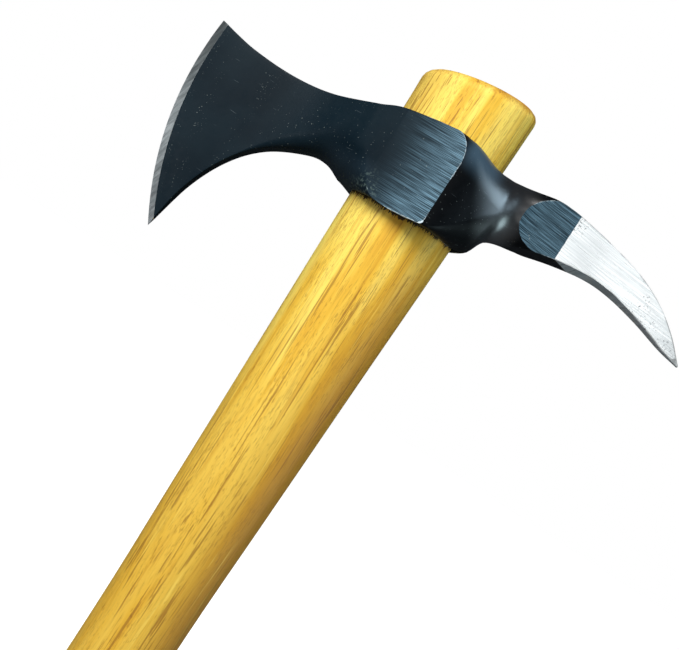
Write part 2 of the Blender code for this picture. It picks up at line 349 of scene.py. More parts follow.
def haft_material(name, sawn):
    """Oiled wood, darker towards the grip, with painted shade on its sides and painted shadow and
    grime below the head; a sawn end is browner.
    """
    made, wire, shader, where = new_material(name, Specular_IOR_Level=0.15)
    figure = group(wire, "wood_figure", Vector=where)
    part = wire.add("ShaderNodeSeparateXYZ", Vector=where).outputs
    rub = wire.noise(wire.stretched(where, (2600, 2600, 420)), 1.0, 3, 0.6)
    base = grained(wire, base_colour_and_painted_shade(wire, figure, part), figure)
    base = shadow_and_grime_under_head(wire, base, where, rub)
    base = browned_top_rim(wire, base, part, rub)
    if sawn:
        base = wire.mix(0.45, base, WOOD_AMBER)
    wire.feed(shader.inputs["Base Color"], base)
    wire.feed(shader.inputs["Roughness"], wire.ramp(figure["Fibres"], 0.3, 0.8, 0.45, 0.62))
    relief = wire.math("SUBTRACT", figure["Fibres"], wire.product(figure["Pores"], 0.9))
    add_relief(wire, shader, relief, 0.4, 0.12 * MM)
    return made


def finish_haft(haft, wood, end_wood):
    """Rounds the ends, slants the top and gives the surface a turned bar's slight unevenness."""
    mesh = haft.data
    count = len(mesh.vertices)
    points = np.empty(count * 3)
    mesh.vertices.foreach_get("co", points)
    points = points.reshape(-1, 3)
    z = points[:, 2].copy()
    radius = np.hypot(points[:, 0], points[:, 1])
    shrink = np.ones(count)
    turned = np.clip((z - HAFT_LENGTH) / TOP_ROUND + 1, 0, 1) * math.pi / 2
    shrink -= TOP_ROUND * (1 - np.cos(turned)) / radius
    points[:, 2] += TOP_ROUND * (np.sin(turned) - turned * 2 / math.pi)
    low = np.clip(BUTT_CHAMFER - z, 0, BUTT_CHAMFER)
    shrink -= low / radius
    for across, along, depth in TURNING_MARKS:
        waves = [noise.noise(Vector(p * (across, across, along))) for p in points]
        shrink += np.array(waves) * depth / radius * (z > 1 * MM)
    points[:, :2] *= shrink[:, None]
    slant = smooth_step(HAFT_LENGTH - 12 * MM, HAFT_LENGTH - TOP_ROUND, z)
    points[:, 2] += slant * (points[:, :2] @ np.array(TOP_SLOPE))
    mesh.vertices.foreach_set("co", points.ravel())
    mesh.materials.clear()
    mesh.materials.append(wood)
    mesh.materials.append(end_wood)
    for face in mesh.polygons:
        face.material_index = int(abs(face.normal.z) > 0.8)  # the sawn ends
    mesh.shade_smooth()
    mesh.set_sharp_from_angle(angle=math.radians(35))
    mesh.update()


wood_figure()
oiled_wood = haft_material("oiled_wood", False)
sawn_wood = haft_material("sawn_end_wood", True)
wooden_haft = grown("wooden_haft", turned_bar_tree(), {"Material": oiled_wood})
finish_haft(wooden_haft, oiled_wood, sawn_wood)
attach(wooden_haft, "haft")
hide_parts("haft")


# ---------------------------------------------------------------------------------------------
# The head: forged from one bar of steel, with a thin flared blade, a tapered eye and a pick on
# the poll. Its cheeks and the pick's sides are ground flat, all of it is dipped in blue-black
# paint, and the cutting edge and the pick are then ground bare.
# ---------------------------------------------------------------------------------------------

_, head_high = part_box("axe_head")
PICK_RISE = 3.5 * MM  # the pick's crown stands this far above the eye's top rim
EYE_TOP = head_high.z - PICK_RISE
CREASE_X = 5.8 * MM
CHEEK_HALF_WIDTH = head_high.y
CHEEK_SLOPE = math.tan(math.radians(20))
ROOT_X = -25 * MM
PICK_X = 38 * MM
BORE_SLACK = 0.12 * MM
EDGE_BULGE = 5.8 * MM
BEVEL_SHARE = 0.041  # of the blade's length
BEVEL_RINGS = 3
ROOT_ROUND = 13 * MM
EYE_ARCH = 1.6 * MM
EDGE_HALF_WIDTH = 0.1 * MM
BEVEL_HALF_WIDTH = 1.2 * MM
ROOT_HALF_WIDTH = 14.8 * MM
CRISP = 0.8 * MM  # rounding of the eye's and the neck's corners
CORNER_STEPS = 12
SIDE_STEPS = 22
BLADE_RINGS = 74
EYE_RINGS = 90
PICK_RINGS = 80
FORGED, GROUND, BORED, BEVELLED = range(4)  # the head's finishes, in this order

# Outlines from the side in millimetres: X from the haft's axis, Z up from the eye's top rim.
TOP_OF_BLADE = [(-85.0, -4.9), (-78, -6.6), (-70, -7.9), (-57, -8.4), (-42, -7.2), (-25, -3.5)]
TOP_OF_EYE = [(-25, -3.5), (-17, -1.1), (0, 0), (16, 0.6), (23, 1.8), (30, 3.0), (38, 3.5)]
TOP_OF_PICK = [(38, 3.5), (48, 3.1), (62, 1.5), (75, -1.3), (86, -5.7), (95, -11.8), (102.7, -19)]
UNDER_BLADE = [
    (-69.2, -75.2), (-65.4, -57.5), (-59, -43.3), (-50, -33.2), (-38, -27), (-31, -26.2),
    (-25, -28.6),
]
UNDER_EYE = [
    (-25, -28.6), (-18, -29.8), (-6, -31), (6, -30.2), (16, -28.7), (21, -27.3), (24, -25.4),
    (25.6, -21.8), (28, -19), (38, -15.7),
]
UNDER_PICK = [
    (38, -15.7), (50, -12.8), (62, -11.2), (72, -11.8), (84, -14.6), (95, -18), (102.7, -19.6),
]


def curve_through(points, steps=16):
    """A Catmull-Rom curve through an outline's points, as a dense polyline in metres."""
    outline = [Vector(point) * MM for point in points]
    ends = [outline[0] * 2 - outline[1], *outline, outline[-1] * 2 - outline[-2]]
    line = []
    for before, a, b, after in zip(ends, ends[1:], ends[2:], ends[3:]):
        for i in range(steps):
            t = i / steps
            bend = 2 * before - 5 * a + 4 * b - after
            twist = 3 * a - before - 3 * b + after
            line.append(0.5 * (2 * a + (b - before) * t + bend * t * t + twist * t**3))
    line.append(outline[-1])
    return line


def point_along(line, share):
    """The point at a share of the line's length."""
    lengths = [(b - a).length for a, b in pairwise(line)]
    left = share * sum(lengths)
    for (a, b), length in zip(pairwise(line), lengths):
        if left <= length:
            return a.lerp(b, left / length)
        left -= length
    return line[-1].copy()


def height_at(line, x):
    return float(np.interp(x, [point.x for point in line], [point.y for point in line]))


def eased(knots, value):
    """A smooth curve without overshoot through (value, result) pairs."""
    given, wanted = np.array(knots, float).T
    slopes = np.diff(wanted) / np.diff(given)
    lean = [slopes[0]]
    for a, b in pairwise(slopes):
        lean.append(0 if a * b <= 0 else 2 * a * b / (a + b))
    lean.append(slopes[-1])
    i = int(np.clip(np.searchsorted(given, value) - 1, 0, len(given) - 2))
    width = given[i + 1] - given[i]
    t = min(1, max(0, (value - given[i]) / width))
    rise = wanted[i] * (1 + 2 * t) * (1 - t) ** 2 + wanted[i + 1] * t * t * (3 - 2 * t)
    return float(rise + width * (lean[i] * t * (1 - t) ** 2 - lean[i + 1] * t * t * (1 - t)))


def blend(a, b, share):
    return a + (b - a) * share


def step(start, end, value):
    return float(smooth_step(start, end, value))


def section(top, under, half_width, corners, bulge=0, arch=0):
    """One closed ring round the head, in world space, between a top and an underside point."""
    (top_across, top_along), (under_across, under_along) = corners
    height = (under - top).length
    down = (under - top) / height
    forward = Vector((-down.y, down.x))
    if forward.x > 0:
        forward = -forward

    def place(y, depth):
        share = depth / height
        point = top + down * depth + forward * (bulge * 4 * share * (1 - share))
        return (point.x, y, EYE_TOP + point.y)

    half = [(half_width - top_across, 0)]
    for i in range(1, CORNER_STEPS + 1):
        turn = math.pi / 2 * i / CORNER_STEPS
        across = half_width - top_across * (1 - math.sin(turn))
        half.append((across, top_along * (1 - math.cos(turn))))
    last = height - under_along
    for i in range(1, SIDE_STEPS + 1):
        half.append((half_width, blend(top_along, last, i / (SIDE_STEPS + 1))))
    for i in range(CORNER_STEPS + 1):
        turn = math.pi / 2 * i / CORNER_STEPS
        across = half_width - under_across * (1 - math.cos(turn))
        half.append((across, last + under_along * math.sin(turn)))
    low_width = half[-1][0]
    bottom = []
    for share in (0.75, 0.5, 0.25):
        bottom.append((low_width * share, height - arch * (1 - share**2)))
    top_row = [(half[0][0] * share, 0) for share in (0.25, 0.5, 0.75)]
    near = [place(0, 0), *(place(-y, depth) for y, depth in [*top_row, *half, *bottom])]
    middle = place(0, height - arch)
    far = [place(y, depth) for y, depth in reversed([*top_row, *half, *bottom])]
    return [*near, middle, *far]


def blade_rings():
    """From the cutting edge to the root; a thin web that flares out into the cheeks."""
    top = curve_through(TOP_OF_BLADE)
    under = curve_through(UNDER_BLADE)
    web = [
        (BEVEL_SHARE, BEVEL_HALF_WIDTH),
        (0.16, 2.1 * MM),
        (0.36, 2.6 * MM),
        (0.5, 3.0 * MM),
        (0.63, 4.3 * MM),
        (0.75, 6.5 * MM),
        (0.87, 10.2 * MM),
        (1, ROOT_HALF_WIDTH),
    ]
    behind = BEVEL_SHARE * 1.1
    shares = [0, BEVEL_SHARE / 2, BEVEL_SHARE * 0.96, BEVEL_SHARE, behind]
    shares += [behind + (1 - behind) * i / BLADE_RINGS for i in range(1, BLADE_RINGS + 1)]
    rings = []
    for share in shares:
        if share < BEVEL_SHARE:
            half_width = blend(EDGE_HALF_WIDTH, BEVEL_HALF_WIDTH, share / BEVEL_SHARE)
        else:
            half_width = eased(web, share)
        crisp = min(0.5 * MM, 0.4 * half_width)
        rounded = step(0.45, 1.0, share)
        below = (blend(crisp, half_width, rounded), blend(crisp, ROOT_ROUND, rounded))
        above = blend(crisp, CRISP, step(0.7, 1, share))
        rings.append(
            section(
                point_along(top, share),
                point_along(under, share),
                half_width,
                ((above, above), below),
                bulge=EDGE_BULGE * (1 - share) ** 4,
            )
        )
    return rings


def roundness(x):
    """The neck is oval; towards the cheeks and the pick its sections turn four-sided."""
    return step(CREASE_X, 27 * MM, x) * (1 - step(28 * MM, 43 * MM, x))


def eye_rings():
    """From the blade's root round the eye to the neck, swollen where the cheeks are ground."""
    top = curve_through(TOP_OF_EYE)
    under = curve_through(UNDER_EYE)
    swelling = [
        (ROOT_X, ROOT_HALF_WIDTH),
        (-21 * MM, 16.5 * MM),
        (-18 * MM, 17.75 * MM),
        (-16 * MM, 18.58 * MM),
        (-12 * MM, 20.25 * MM),
        (-6 * MM, 23.0 * MM),
        (0, 25.7 * MM),
        (4 * MM, 26.9 * MM),
        (CREASE_X, CHEEK_HALF_WIDTH),
        (9.5 * MM, 25.0 * MM),
        (13 * MM, 22.9 * MM),
        (17 * MM, 19.9 * MM),
        (21 * MM, 16.8 * MM),
        (25 * MM, 13.6 * MM),
        (29 * MM, 11.2 * MM),
        (33 * MM, 9.9 * MM),
        (PICK_X, 9.3 * MM),
    ]
    rings = []
    for i in range(1, EYE_RINGS + 1):
        x = blend(ROOT_X, PICK_X, i / EYE_RINGS)
        high = Vector((x, height_at(top, x)))
        low = Vector((x, height_at(under, x)))
        half_width = eased(swelling, x)
        half_height = (high.y - low.y) / 2
        rounded = roundness(x)
        shoulder = step(-2 * MM, 6 * MM, x) * (1 - step(12 * MM, 30 * MM, x))
        across = blend(blend(CRISP, 5 * MM, shoulder), half_width, rounded)
        along = blend(blend(CRISP, 9.5 * MM, shoulder), half_height, rounded)
        above = (across, along)
        rooted = 1 - step(ROOT_X, -11 * MM, x)
        crisp = blend(CRISP, half_width, rounded)
        crisp_along = blend(CRISP, half_height, rounded)
        below = (blend(crisp, half_width, rooted), blend(crisp_along, ROOT_ROUND, rooted))
        arch = EYE_ARCH * (1 - rooted) * (1 - step(21 * MM, 29 * MM, x))
        rings.append(section(high, low, half_width, (above, below), arch=arch))
    return rings


PICK_SIDES = [
    (30 * MM, 9.4 * MM),
    (PICK_X, 8.6 * MM),
    (48 * MM, 7.5 * MM),
    (64 * MM, 4.7 * MM),
    (83 * MM, 2.7 * MM),
    (96 * MM, 1.4 * MM),
    (102.7 * MM, 0.5 * MM),
]


def pick_rings():
    """A four-sided spike that curves down to its point."""
    top = curve_through(TOP_OF_PICK)
    under = curve_through(UNDER_PICK)
    rings = []
    for i in range(1, PICK_RINGS + 1):
        share = 1 - (1 - i / PICK_RINGS) ** 1.15  # closer together towards the point
        high = point_along(top, share)
        low = point_along(under, share)
        middle = (high.x + low.x) / 2
        spare = blend(0.8, 0.1, step(PICK_X, 95 * MM, middle)) * MM
        half_width = eased(PICK_SIDES, middle) + spare
        height = (high - low).length
        rounded = roundness(middle)
        crisp = blend(0.8, 0.5, step(PICK_X, 50 * MM, middle)) * MM
        corner = min(crisp, 0.4 * half_width, 0.4 * height)
        corners = (blend(corner, half_width, rounded), blend(corner, height / 2, rounded))
        rings.append(section(high, low, half_width, (corners, corners)))
    return rings


def lofted(rings):
    """A closed skin over rings with the same number of points, with a cap at each end."""
    skin = bmesh.new()
    made = [[skin.verts.new(point) for point in ring] for ring in rings]
    for ring, following in pairwise(made):
        for i in range(len(ring)):
            j = (i + 1) % len(ring)
            skin.faces.new((ring[i], ring[j], following[j], following[i]))
    skin.faces.new(reversed(made[0]))
    skin.faces.new(made[-1])
    bmesh.ops.recalc_face_normals(skin, faces=skin.faces)
    return skin


def object_of(name, skin, materials):
    mesh = bpy.data.meshes.new(name)
    skin.to_mesh(mesh)
    skin.free()
    for finish in materials:
        mesh.materials.append(finish)
    made = bpy.data.objects.new(name, mesh)
    bpy.context.scene.collection.objects.link(made)
    return made


def cutter_of(name, rings, finish, materials):
    """A closed block that leaves one finish on what it cuts."""
    skin = lofted(rings)
    for face in skin.faces:
        face.material_index = finish
        face.smooth = True
    return object_of(name, skin, materials)


BLOCK_OUTSIDE = 60 * MM
BLOCK_ROW = 1.6 * MM


def grinding_block(name, profile, low, high, side, materials):
    """A block whose inner face follows (x, y) points: what a grinding wheel takes away."""
    rows = int((high - low) / BLOCK_ROW)
    rings = []
    for i in range(rows + 1):
        z = EYE_TOP + blend(low, high, i / rows)
        inner = [(x, side * y, z) for x, y in profile]
        outer = [(x, side * BLOCK_OUTSIDE, z) for x in (profile[-1][0], profile[0][0])]
        rings.append([*inner, *outer])
    return cutter_of(name, rings, GROUND, materials)


BORE_BELOW = 60 * MM
BORE_ABOVE = 12 * MM
BORE_ROWS = 36
BORE_SIDES = 160


def eye_bore(name, materials):
    """The eye's bore: a cone that follows the haft."""
    rings = []
    for row in range(BORE_ROWS + 1):
        z = EYE_TOP + blend(-BORE_BELOW, BORE_ABOVE, row / BORE_ROWS)
        radius = TOP_RADIUS - CONE_TAPER * (HAFT_LENGTH - z) + BORE_SLACK
        ring = []
        for i in range(BORE_SIDES):
            turn = math.tau * i / BORE_SIDES
            ring.append((radius * math.cos(turn), radius * math.sin(turn), z))
        rings.append(ring)
    return cutter_of(name, rings, BORED, materials)


def cut_by(piece, cutters):
    """Takes each cutter away from the piece, keeps the cutters' own materials, removes them."""
    for cutter in cutters:
        cut = piece.modifiers.new(cutter.name, "BOOLEAN")
        cut.operation = "DIFFERENCE"
        cut.solver = "EXACT"
        cut.material_mode = "INDEX"
        cut.object = cutter
    graph = bpy.context.evaluated_depsgraph_get()
    mesh = bpy.data.meshes.new_from_object(piece.evaluated_get(graph))
    piece.modifiers.clear()
    old = piece.data
    piece.data = mesh
    mesh.name = piece.name
    bpy.data.meshes.remove(old)
    for cutter in cutters:
        bpy.data.objects.remove(cutter)


CRISP_BEND = 27  # degrees
GROUND_BEND = 7  # degrees, between a ground face and the forging behind the crease
SPOT_SPACING = 0.25 * MM


def note_edges(mesh):
    """Marks the crisp edges and stores each point's distance to the nearest one."""
    body = bmesh.new()
    body.from_mesh(mesh)
    bmesh.ops.remove_doubles(body, verts=body.verts, dist=0.002 * MM)
    body.normal_update()
    crisp = []
    for edge in body.edges:
        if len(edge.link_faces) != 2:
            continue
        one, other = edge.link_faces
        middle = (edge.verts[0].co + edge.verts[1].co) / 2
        meeting = one.material_index != other.material_index and middle.x >= -14 * MM
        limit = GROUND_BEND if meeting else CRISP_BEND
        edge.smooth = math.degrees(edge.calc_face_angle(0)) < limit
        if not edge.smooth:
            crisp.append(edge)
    for face in body.faces:
        face.smooth = True
    spots = []
    for edge in crisp:
        a, b = (vertex.co for vertex in edge.verts)
        pieces = max(1, int((b - a).length / SPOT_SPACING))
        spots += [a.lerp(b, i / pieces) for i in range(pieces + 1)]
    tree = kdtree.KDTree(len(spots))
    for i, spot in enumerate(spots):
        tree.insert(spot, i)
    tree.balance()
    away = [tree.find(vertex.co)[2] / MM for vertex in body.verts]
    body.to_mesh(mesh)
    body.free()
    layer = mesh.attributes.new("edge_distance", "FLOAT", "POINT")
    layer.data.foreach_set("value", np.array(away, np.float32))
    mesh.update()


def forged_unevenness(skin):
    """The shallow hollows that hammers and dies leave on a forging."""
    skin.normal_update()
    shifts = []
    for vertex in skin.verts:
        p = vertex.co
        deep = noise.noise(p * 45) * 0.12 + noise.noise(p * 130) * 0.03
        shifts.append(vertex.normal * deep * MM * blend(0.3, 1, step(0, 15 * MM, p.x)))
    for vertex, shift in zip(skin.verts, shifts):
        vertex.co += shift


def brushed_lines():
    """Fine parallel lines left by a grinding belt that ran along X."""
    tree, given, result = node_tree(
        "brushed_lines",
        "ShaderNodeTree",
        [
            ("Vector", VECTOR, None),
            ("Lines per Metre", FLOAT, 4300.0),
            ("Lines along X", FLOAT, 48.0),
        ],
        [("Lines", FLOAT), ("Deep Lines", FLOAT)],
    )
    wire = Wiring(tree)
    part = wire.add("ShaderNodeSeparateXYZ", Vector=given.outputs["Vector"]).outputs
    lean = wire.math("ADD", part[2], wire.product(part[0], 0.05))
    along = wire.product(part[0], given.outputs["Lines along X"])
    for label, share, detail in (("Lines", 1.0, 3), ("Deep Lines", 0.45, 1)):
        place = wire.add("ShaderNodeCombineXYZ")
        wire.feed(place.inputs["X"], wire.product(along, share * 1.6))
        count = wire.product(given.outputs["Lines per Metre"], share)
        wire.feed(place.inputs["Z"], wire.product(lean, count))
        wire.feed(result.inputs[label], wire.noise(place.outputs[0], 1.0, detail, 0.6))
    return tree


def dust_and_scratches():
    """Sparse pale specks, and short thin scratches that lie in every direction."""
    tree, given, result = node_tree(
        "dust_and_scratches",
        "ShaderNodeTree",
        [
            ("Vector", VECTOR, None),
            ("Specks per Metre", FLOAT, 1150.0),
            ("Speck Share", FLOAT, 0.5),
        ],
        [("Dust", FLOAT), ("Scratches", FLOAT)],
    )
    wire = Wiring(tree)
    where = given.outputs["Vector"]
    cells = wire.add("ShaderNodeTexVoronoi", {"feature": "F1"})
    wire.feed(cells.inputs["Vector"], where)
    wire.feed(cells.inputs["Scale"], given.outputs["Specks per Metre"])
    chance = wire.add("ShaderNodeSeparateColor", Color=cells.outputs["Color"]).outputs
    size = wire.product(wire.math("POWER", chance[1], 3.0), 0.2)
    chosen = wire.math("LESS_THAN", chance[0], given.outputs["Speck Share"])
    near = wire.math("SUBTRACT", wire.math("ADD", size, 0.05), cells.outputs["Distance"])
    speck = wire.ramp(near, 0.0, 0.05)
    gathered = wire.ramp(wire.noise(where, 70.0, 2), 0.42, 0.6, 0.25, 1.0)
    strength = wire.math("ADD", wire.product(chance[2], 0.8), 0.2)
    wire.feed(result.inputs["Dust"], wire.product(speck, chosen, gathered, strength))
    total = 0.0
    for turn, share in ((0.5, 0.80), (2.2, 0.81), (1.3, 0.82)):
        laid = wire.stretched(where, (130, 130, 3400), turn=(0.0, turn, 0.0))
        line = wire.ramp(wire.noise(laid, 1.0, 1), share, share + 0.04)
        total = wire.math("MAXIMUM", total, line)
    wire.feed(result.inputs["Scratches"], total)
    return tree


def edge_wear():
    """Paint rubbed off near crisp edges, ragged and only in places."""
    tree, given, result = node_tree(
        "edge_wear",
        "ShaderNodeTree",
        [
            ("Vector", VECTOR, None),
            ("Distance in mm", FLOAT, 9.0),
            ("Width in mm", FLOAT, 0.14),
            ("Amount", FLOAT, 0.56),
        ],
        [("Worn", FLOAT)],
    )
    wire = Wiring(tree)
    where = given.outputs["Vector"]
    ragged = wire.noise(where, 1300.0, 2, 0.6)
    places = wire.noise(where, 120.0, 2)
    limit = wire.math("SUBTRACT", 1.0, given.outputs["Amount"])
    places = wire.math("DIVIDE", wire.math("SUBTRACT", places, limit), 0.12, clamp=True)
    ragged = wire.ramp(ragged, 0.3, 0.65, 0.2, 1.6)
    reach = wire.product(given.outputs["Width in mm"], places, ragged)
    left = wire.math("SUBTRACT", reach, given.outputs["Distance in mm"])
    wire.feed(result.inputs["Worn"], wire.ramp(left, 0.0, 0.08))
    return tree


def bare_pick():
    """Where the pick is ground bare: the paint ends in a slanting line a third of its way out."""
    tree, given, result = node_tree(
        "bare_pick",
        "ShaderNodeTree",
        [
            ("Vector", VECTOR, None),
            ("Line X", FLOAT, 48 * MM),
            ("Slant", FLOAT, 0.6),
        ],
        [("Bare", FLOAT), ("Leftover Paint", FLOAT)],
    )
    wire = Wiring(tree)
    where = given.outputs["Vector"]
    part = wire.add("ShaderNodeSeparateXYZ", Vector=where).outputs
    across = wire.math("MAXIMUM", wire.math("ADD", part[1], 7.5 * MM), 0.0)
    line = wire.math("MULTIPLY_ADD", across, given.outputs["Slant"], given.outputs["Line X"])
    ragged = wire.product(wire.math("SUBTRACT", wire.noise(where, 900.0, 3), 0.5), 0.35 * MM)
    beyond = wire.math("SUBTRACT", wire.math("ADD", part[0], ragged), line)
    wire.feed(result.inputs["Bare"], wire.ramp(beyond, 0.0, 0.15 * MM))
    flecks = wire.noise(where, 1500.0, 3, 0.65)
    clouds = wire.noise(where, 150.0, 2)
    high = wire.ramp(wire.math("SUBTRACT", part[2], EYE_TOP), -9 * MM, 1 * MM)
    close = wire.product(wire.ramp(beyond, 1 * MM, 9 * MM, 1.0, 0.0), high)
    tip = wire.product(wire.ramp(beyond, 14 * MM, 34 * MM), wire.ramp(clouds, 0.38, 0.52), 0.8)
    amount = wire.math("MAXIMUM", close, tip)
    limit = wire.ramp(amount, 0.0, 1.0, 0.8, 0.53, smooth=False)
    left = wire.ramp(wire.math("SUBTRACT", flecks, limit), 0.0, 0.05)
    wire.feed(result.inputs["Leftover Paint"], left)
    return tree


PAINT_THIN = (0.0035, 0.0095, 0.015, 1)
PAINT_THINNER = (0.0055, 0.0135, 0.020, 1)
PAINT_THICK = (0.0018, 0.0024, 0.0032, 1)
PAINT_OVER_STEEL_AND_SHEEN = (0.17, 0.31, 0.41, 1)
PAINT_LIT_AT_ROOT = (0.018, 0.033, 0.048, 1)
SHEEN_BEHIND_CREASE = (0.045, 0.08, 0.115, 1)
DUST = (0.33, 0.38, 0.36, 1)
SCRATCHED = (0.25, 0.31, 0.33, 1)
SCUFFED = (0.11, 0.16, 0.15, 1)
WORN_EDGE_AND_GLINT = (0.42, 0.5, 0.54, 1)
STEEL_DARK = (0.66, 0.7, 0.71, 1)
STEEL_BRIGHT = (0.9, 0.92, 0.92, 1)
STEEL_RIM = (0.16, 0.17, 0.17, 1)
LEFTOVER_PAINT = (0.12, 0.13, 0.14, 1)


def painted(wire, part, cloud):
    """The paint's own colour, with painted light low on the blade's root."""
    colour = wire.mix(cloud, PAINT_THIN, PAINT_THINNER)
    # Painted light: lighter paint low on the blade's root.
    from_blade = wire.ramp(part[0], -36 * MM, -28 * MM)
    to_eye = wire.ramp(part[0], -12 * MM, -20 * MM)
    low = wire.ramp(part[2], EYE_TOP - 19 * MM, EYE_TOP - 25 * MM)
    return wire.mix(wire.product(wire.product(from_blade, to_eye), low, 0.6), colour, PAINT_LIT_AT_ROOT)


def steel_lines_and_sheen(wire, part, cloud, lines):
    """How much the ground steel shows through the paint in lines; towards the crease this is partly
    paint worn thin and partly painted sheen.
    """
    level = wire.math("ABSOLUTE", wire.math("SUBTRACT", part[2], EYE_TOP - 14 * MM))
    bowed = wire.math("ADD", part[0], wire.product(level, 0.25))
    # Painted sheen towards the crease, together with paint worn thin there.
    fading = wire.math("POWER", wire.ramp(bowed, -20 * MM, 9 * MM), 1.9)
    on_pick = wire.ramp(part[0], 20 * MM, 30 * MM, 1.0, 0.55)
    fading = wire.product(fading, on_pick, wire.ramp(cloud, 0.0, 1.0, 0.8, 1.0))
    fine = wire.ramp(lines["Lines"], 0.38, 0.7, 0.1, 1.3)
    return wire.product(fine, wire.ramp(lines["Deep Lines"], 0.3, 0.65, 0.7, 1.0), fading)


def thick_behind_crease_with_sheen(wire, colour, part):
    """Behind the crease the paint is thick and black, except high up, where a painted bluish sheen
    lightens it.
    """
    colour = wire.mix(wire.ramp(part[0], -8 * MM, 6 * MM), colour, PAINT_THICK)
    # Painted sheen: lighter blue high on the back behind the crease.
    high = wire.ramp(part[2], EYE_TOP - 11 * MM, EYE_TOP - 3 * MM)
    behind = wire.ramp(part[0], 3 * MM, 8 * MM)
    before_neck = wire.ramp(part[0], 22 * MM, 15 * MM)
    sheen_high = wire.product(high, wire.product(behind, before_neck), 0.8)
    return wire.mix(sheen_high, colour, SHEEN_BEHIND_CREASE)


def polished_neck(wire, part):
    """The neck's hollow is rubbed to a gloss, further in at the top than at the bottom."""
    rise = wire.product(wire.math("SUBTRACT", part[2], EYE_TOP - 10 * MM), 0.6)
    inner = wire.ramp(wire.math("ADD", part[0], rise), 11 * MM, 25 * MM)
    return wire.product(inner, wire.ramp(part[0], 36 * MM, 29 * MM))


def scuffs(wire, where):
    """A scuffed patch low on the blade's root."""
    aside = wire.add("ShaderNodeVectorMath", {"operation": "SUBTRACT"})
    wire.feed(aside.inputs[0], where)
    wire.feed(aside.inputs[1], (-15.5 * MM, 0, EYE_TOP - 29 * MM))
    aside = wire.add("ShaderNodeSeparateXYZ", Vector=aside.outputs[0]).outputs
    away = wire.math("ADD", wire.math("ABSOLUTE", aside[0]), wire.math("ABSOLUTE", aside[2]))
    ragged = wire.ramp(wire.noise(where, 1100.0, 3), 0.5, 0.66)
    return wire.product(wire.ramp(away, 9 * MM, 1 * MM), ragged)


def bare_steel(wire, where, lines, away, leftover):
    """The pick's bare steel: brushed, darker along its edges, with flecks of paint left on it."""
    steel = wire.mix(wire.ramp(lines["Deep Lines"], 0.35, 0.7), STEEL_DARK, STEEL_BRIGHT)
    places = wire.ramp(wire.noise(where, 160.0, 2), 0.4, 0.6, 0.35, 1.0)
    rim = wire.product(wire.ramp(away, 0.5, 0.15), places, 0.7)
    steel = wire.mix(rim, steel, STEEL_RIM)
    return wire.mix(wire.product(leftover, 0.8), steel, LEFTOVER_PAINT)


def head_paint(name, ground):
    """Thin blue-black paint; over a ground face the belt's lines show through it."""
    made, wire, shader, where = new_material(
        name, Specular_IOR_Level=0.07, Coat_Roughness=0.34, Coat_IOR=2.1
    )
    lines = group(wire, "brushed_lines", Vector=where)
    count, share = (1150.0, 0.5) if ground else (1500.0, 0.85)
    specks = group(
        wire, "dust_and_scratches", Vector=where, Specks_per_Metre=count, Speck_Share=share
    )
    away = wire.add("ShaderNodeAttribute", {"attribute_name": "edge_distance"}).outputs["Fac"]
    part = wire.add("ShaderNodeSeparateXYZ", Vector=where).outputs
    # More edge wear low down; there it is also a painted highlight along the lower edges.
    lower = wire.ramp(part[2], EYE_TOP - 6 * MM, EYE_TOP - 28 * MM, 0.45, 1.0)
    wear_and_glint = group(wire, "edge_wear", Vector=where, Distance_in_mm=away)["Worn"]
    wear_and_glint = wire.product(wear_and_glint, lower)
    pick = group(wire, "bare_pick", Vector=where)
    bare = pick["Bare"]

    cloud = wire.ramp(wire.noise(where, 60.0, 3), 0.3, 0.7)
    colour = painted(wire, part, cloud)
    if ground:
        # Brushed steel showing through the paint, with painted sheen towards the crease.
        steel_and_sheen = steel_lines_and_sheen(wire, part, cloud, lines)
        colour = wire.mix(steel_and_sheen, colour, PAINT_OVER_STEEL_AND_SHEEN)
        rough = wire.ramp(lines["Lines"], 0.3, 0.7, 0.46, 0.36)
    else:
        colour = thick_behind_crease_with_sheen(wire, colour, part)
        wire.feed(shader.inputs["Coat Weight"], polished_neck(wire, part))
        rough = wire.ramp(wire.noise(where, 500.0, 3), 0.3, 0.7, 0.34, 0.46)
    colour = wire.mix(wire.product(specks["Dust"], 0.45 if ground else 0.6), colour, DUST)
    colour = wire.mix(wire.product(specks["Scratches"], 0.22), colour, SCRATCHED)
    colour = wire.mix(wire.product(scuffs(wire, where), 0.7), colour, SCUFFED)
    colour = wire.mix(wear_and_glint, colour, WORN_EDGE_AND_GLINT)
    steel = bare_steel(wire, where, lines, away, pick["Leftover Paint"])
    wire.feed(shader.inputs["Base Color"], wire.mix(bare, colour, steel))

    metal = wire.math("MAXIMUM", wire.product(wear_and_glint, 0.5), wire.product(bare, 0.65))
    wire.feed(shader.inputs["Metallic"], metal)
    bare_rough = wire.ramp(lines["Lines"], 0.3, 0.7, 0.26, 0.42)
    paint_rough = wire.product(rough, wire.math("SUBTRACT", 1.0, bare))
    rough = wire.math("ADD", paint_rough, wire.product(bare_rough, bare))
    wire.feed(shader.inputs["Roughness"], rough)
    skin_relief = wire.product(wire.noise(where, 900.0, 4, 0.6), 0.25 if ground else 1.0)
    lined = wire.math("MAXIMUM", 1.0 if ground else 0.0, bare)
    height = wire.math("ADD", skin_relief, wire.product(lines["Lines"], lined))
    add_relief(wire, shader, height, 0.5, 0.03 * MM)
    return made


EDGE_DARK = (0.6, 0.67, 0.68, 1)
EDGE_BRIGHT = (0.93, 0.97, 0.98, 1)
EDGE_SHADED_HIGH = (0.07, 0.08, 0.083, 1)
EDGE_CLOUDED = (0.36, 0.42, 0.43, 1)
SCALE_BLACK = (0.012, 0.014, 0.016, 1)
SCALE_BROWN = (0.045, 0.04, 0.037, 1)


